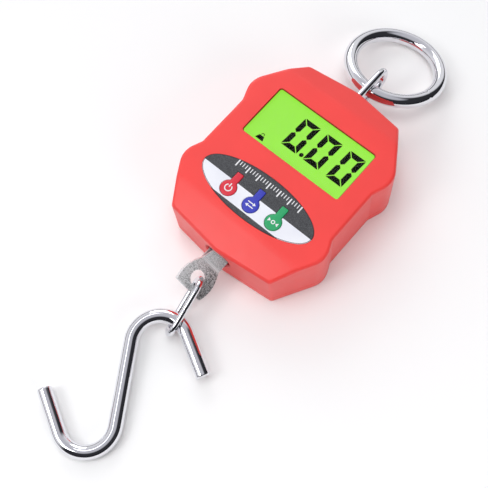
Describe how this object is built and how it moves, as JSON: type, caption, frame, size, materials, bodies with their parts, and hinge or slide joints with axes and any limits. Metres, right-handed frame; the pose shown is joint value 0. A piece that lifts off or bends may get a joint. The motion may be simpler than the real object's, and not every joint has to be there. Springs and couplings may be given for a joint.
{
  "type": "digital hanging scale",
  "caption": "Handheld digital hanging scale: lifting ring on a wire eye, lit display and buttons on a waisted case, and a swivelling lug, link and open S-hook for the load.",
  "frame": {"origin": "middle of the case's flat back, which lies on the surface", "axes": "+X across the case to the right of the display, +Y along the case from hook to ring, +Z out of the display"},
  "size_m": [0.082, 0.2665, 0.0321],
  "materials": {
    "case_red": "satin moulded red plastic",
    "lens": "clear",
    "lcd_green": "lit green display",
    "white_plastic": "matte",
    "backlight": "satin",
    "contact_rubber": "matte",
    "board_green": "solder mask",
    "chip_black": "matte",
    "switch_black": "matte",
    "button_red": "satin",
    "button_blue": "satin",
    "button_green": "satin",
    "label_film": "satin printed film",
    "cell_alloy": "milled",
    "gauge_film": "film",
    "lead_red": "satin",
    "bright_steel": "zinc plated",
    "chrome_wire": "polished",
    "washer_nylon": "matte",
    "lug_steel": "dull plated",
    "cell_jacket": "printed jacket",
    "spring_steel": "nickel plated",
    "lead_black": "satin",
    "screw_steel": "zinc plated"
  },
  "bodies": {
    "case": {"front_cover": "case_red", "rear_cover": "case_red", "display_lens": "lens", "face_label": "label_film", "top_eye": "chrome_wire", "lcd_frame": "white_plastic", "backlight_panel": "backlight", "contact_strip": "contact_rubber", "main_board": "board_green", "controller_chip": "chip_black", "converter_chip": "chip_black", "tact_switches": "switch_black", "load_cell": "cell_alloy", "strain_gauges": "gauge_film", "signal_leads": "lead_red", "eye_yoke": "bright_steel", "anchor_bolt": "bright_steel", "eye_nuts": "bright_steel", "swivel_bolt": "bright_steel", "lock_nut": "bright_steel", "thrust_washer": "washer_nylon", "battery_cells": "cell_jacket", "battery_springs": "spring_steel", "contact_plates": "spring_steel", "battery_leads": "lead_black", "board_screws": "screw_steel", "case_screws": "screw_steel", "lcd_glass": "lcd_green"},
    "battery_door": {"battery_door": "case_red"},
    "power_button": {"power_button": "button_red"},
    "unit_button": {"unit_button": "button_blue"},
    "tare_button": {"tare_button": "button_green"},
    "ring": {"hang_ring": "chrome_wire"},
    "lug": {"swivel_lug": "lug_steel"},
    "link": {"chain_link": "chrome_wire"},
    "hook": {"s_hook": "chrome_wire"}
  },
  "joints": [
    {"name": "ring_swing", "type": "hinge", "parent": "case", "child": "ring", "pos_m": [0, 0.0602, 0.0167], "axis": [1, 0, 0], "range_deg": [-88, 122]},
    {"name": "lug_swivel", "type": "hinge", "parent": "case", "child": "lug", "pos_m": [0, -0.0427, 0.016], "axis": [0, 1, 0], "continuous": true},
    {"name": "link_swing", "type": "hinge", "parent": "lug", "child": "link", "pos_m": [0, -0.06405, 0.016], "axis": [0.5592, 0, 0.829], "range_deg": [-40, 10]},
    {"name": "hook_swing", "type": "hinge", "parent": "link", "child": "hook", "pos_m": [0.00493, -0.09668, 0.00673], "axis": [0.0349, -0.0543, 0.9979], "range_deg": [-80, 25]},
    {"name": "power_press", "type": "slide", "parent": "case", "child": "power_button", "axis": [0, 0, -1], "range_m": [0, 0.0006], "stiffness_N_per_m": 600, "springref_m": -0.0005},
    {"name": "unit_press", "type": "slide", "parent": "case", "child": "unit_button", "axis": [0, 0, -1], "range_m": [0, 0.0006], "stiffness_N_per_m": 600, "springref_m": -0.0005},
    {"name": "tare_press", "type": "slide", "parent": "case", "child": "tare_button", "axis": [0, 0, -1], "range_m": [0, 0.0006], "stiffness_N_per_m": 600, "springref_m": -0.0005},
    {"name": "battery_door_hinge", "type": "hinge", "parent": "case", "child": "battery_door", "pos_m": [-0.024, 0.0274, 0], "axis": [1, 0, 0], "range_deg": [0, 75]}
  ]
}
